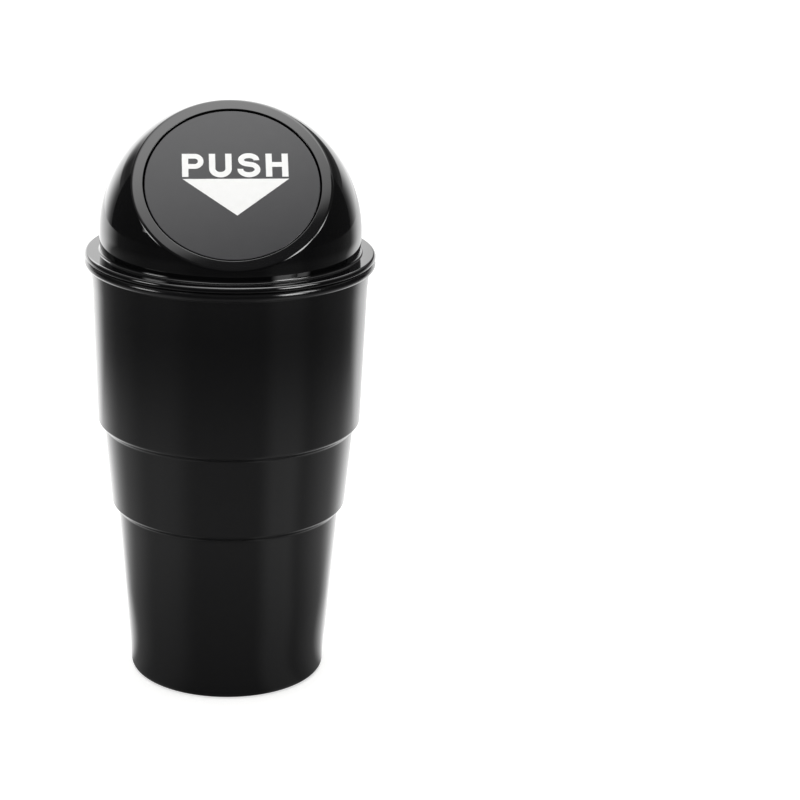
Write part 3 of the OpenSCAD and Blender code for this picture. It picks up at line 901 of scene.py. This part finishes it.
def ink(strips_of_mark, outline):
    """Closed films of ink: strips between two edges, and one flat outline, each with a top face
    at ink_t over the flap, a bottom face on it, and walls between."""
    points, faces, count = [], [], 0
    c, s = math.cos(mark_turn), math.sin(mark_turn)
    place = np.array([[c, s], [-s, c]])
    loops = [np.concatenate([right, left[::-1]]) for left, right in strips_of_mark] + [outline]
    for loop, strip in zip(loops, [True] * len(strips_of_mark) + [False]):
        n = len(loop)
        flat = loop @ place + (mark_middle, mark_base)
        low = np.column_stack([flat, np.full(n, flap_face - ink_sunk)])
        high = np.column_stack([flat, np.full(n, flap_face + ink_t)])
        a = np.arange(n) + count
        b = a + n
        walls = np.stack([a, np.roll(a, -1), np.roll(b, -1), b], -1).tolist()
        if strip:
            m = n // 2
            pairs = np.stack([b[:m - 1], b[1:m], b[::-1][1:m], b[::-1][:m - 1]], -1)
            faces += walls + pairs.tolist() + (pairs - n)[:, ::-1].tolist()
        else:
            faces += walls + [b.tolist(), a[::-1].tolist()]
        points += [in_face(low), in_face(high)]
        count += 2 * n
    mesh = bpy.data.meshes.new("printed_mark")
    mesh.from_pydata((np.concatenate(points) / 1000).tolist(), [], faces)
    made = bpy.data.objects.new("printed_mark", mesh)
    bpy.context.collection.objects.link(made)
    return made


mark = ink(ribbons, triangle)
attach(mark, "flap")

ink_white = "#efefee"
ink_shade = "#e7e7e5"
ink_cloud_mm = 2
ink_roughness = 0.45
pad_ink = bpy.data.materials.new("white_pad_printing_ink")
tree = empty_tree(pad_ink)
clouds = uneven(tree, ink_cloud_mm, 3.0)
body = add(tree, "MixRGB", {0: clouds, 1: colour(ink_white), 2: colour(ink_shade)})
film = add(tree, "Bump", {"Height": uneven(tree, pit_mm, 2.0), "Strength": 1.0,
                          "Distance": pit_depth_mm / 2000})
matt = add(tree, "BsdfPrincipled", {"Base Color": body.outputs[0], "Roughness": ink_roughness,
                                    "IOR": 1.5, "Normal": film.outputs[0]})
add(tree, "OutputMaterial", {"Surface": matt.outputs[0]})
mark.data.materials.append(pad_ink)


# Hinge pin. A length of drawn steel wire with chamfered ends, pressed into the lid's bosses.
# The solid's own form is right, so it is kept and given the lengthwise lines of drawing.
steel_grey = "#b3b5b8"
steel_bright = "#c6c8ca"
line_mm, line_stretch, line_depth_mm = 0.25, (0.03, 1, 1), 0.004
steel_smooth, steel_rough = 0.2, 0.38
drawn_steel = bpy.data.materials.new("drawn_steel_wire")
tree = empty_tree(drawn_steel)
lines = uneven(tree, line_mm, 3.0, line_stretch)
body = add(tree, "MixRGB", {0: lines, 1: colour(steel_grey), 2: colour(steel_bright)})
polish = add(tree, "MapRange", {"Value": lines, "To Min": steel_smooth, "To Max": steel_rough})
draw = add(tree, "Bump", {"Height": lines, "Strength": 0.6, "Distance": line_depth_mm / 1000})
metal = add(tree, "BsdfPrincipled", {"Base Color": body.outputs[0], "Roughness": polish.outputs[0],
                                     "Metallic": 1.0, "Normal": draw.outputs[0]})
add(tree, "OutputMaterial", {"Surface": metal.outputs[0]})
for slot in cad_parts["hinge_pin"].material_slots:
    slot.material = drawn_steel


# Return spring. A torsion spring of 0.7 mm wire on the pin: one leg lies on the flap's back,
# the other hooks under the stop ledge, and the seven turns between them twist as it opens.
# Here it is drawn in one fixed shape, as the closed flap holds it.
wire_r, pin_r, coil_gap, coil_turns = 0.35, 1.0, 0.25, 7
touch = 0.05
flap_leg, ledge_leg = 9.0, 6.8
turn_steps, leg_steps = 56, 12
# Both legs leave the coil as tangents. One ends on the flap's back; the other is set at the angle
# at which it just passes the stop ledge's lower edge.
coil_r = pin_r + coil_gap + wire_r
coil_pitch = 1.05 * 2 * wire_r
coil_x = coil_turns * coil_pitch / 2
flap_leg_end = np.array([-flap_leg, flap_back - wire_r - touch - pin_deep])
flap_leg_turn = (math.atan2(flap_leg_end[1], flap_leg_end[0])
                 - math.acos(coil_r / np.hypot(*flap_leg_end)))
ledge_edge = np.array([opening_r - ledge_reach - pin_up, ledge_under - pin_deep])
ledge_leg_turn = (math.atan2(ledge_edge[1], ledge_edge[0])
                  + math.acos((coil_r + wire_r + touch) / np.hypot(*ledge_edge)))
c, s = math.cos(ledge_leg_turn), math.sin(ledge_leg_turn)
ledge_leg_end = coil_r * np.array([c, s]) + ledge_leg * np.array([s, -c])
last_turn = ledge_leg_turn - 2 * math.pi * coil_turns
turn = np.linspace(flap_leg_turn, last_turn, turn_steps * coil_turns + 1)
along_pin = np.linspace(-coil_x, coil_x, len(turn))
coil = np.stack([along_pin, coil_r * np.cos(turn), coil_r * np.sin(turn)], 1)
leg_in = straight((-coil_x, *flap_leg_end), coil[0], leg_steps)
leg_out = straight(coil[-1], (coil_x, *ledge_leg_end), leg_steps)
wire_line = np.concatenate([leg_in[:-1], coil, leg_out[1:]])


def wire(path, radius, sides=16):
    """A round wire: a circle carried along the path, drawn in to a rounded point at both ends.
    Its sideways direction is the path's direction crossed with X."""
    along = np.gradient(path, axis=0)
    along /= np.linalg.norm(along, axis=1, keepdims=True)
    aside = np.cross(along, (1, 0, 0))
    aside /= np.linalg.norm(aside, axis=1, keepdims=True)
    up = np.cross(along, aside)
    a = np.linspace(0, 2 * math.pi, sides, endpoint=False)
    ring = np.cos(a)[:, None] * aside[:, None] + np.sin(a)[:, None] * up[:, None]
    cap = np.radians([0, 45, 80])
    back = [path[0] + radius * (ring[0] * math.sin(t) - along[0] * math.cos(t)) for t in cap]
    front = [path[-1] + radius * (ring[-1] * math.sin(t) + along[-1] * math.cos(t)) for t in cap[::-1]]
    return np.concatenate([back, path[:, None] + radius * ring, front])


def pulled_in(path, by):
    """The path with its two ends moved in, which leaves room for the rounded ends."""
    p = path.copy()
    p[0] += by * (p[1] - p[0]) / np.linalg.norm(p[1] - p[0])
    p[-1] += by * (p[-2] - p[-1]) / np.linalg.norm(p[-2] - p[-1])
    return p


spring_grid = wire(pulled_in(wire_line, wire_r), wire_r)
spring = skin("torsion_spring", [(on_pin(spring_grid), False)])
spring.data.materials.append(drawn_steel)
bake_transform(spring)
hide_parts("return_spring")

low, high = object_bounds()
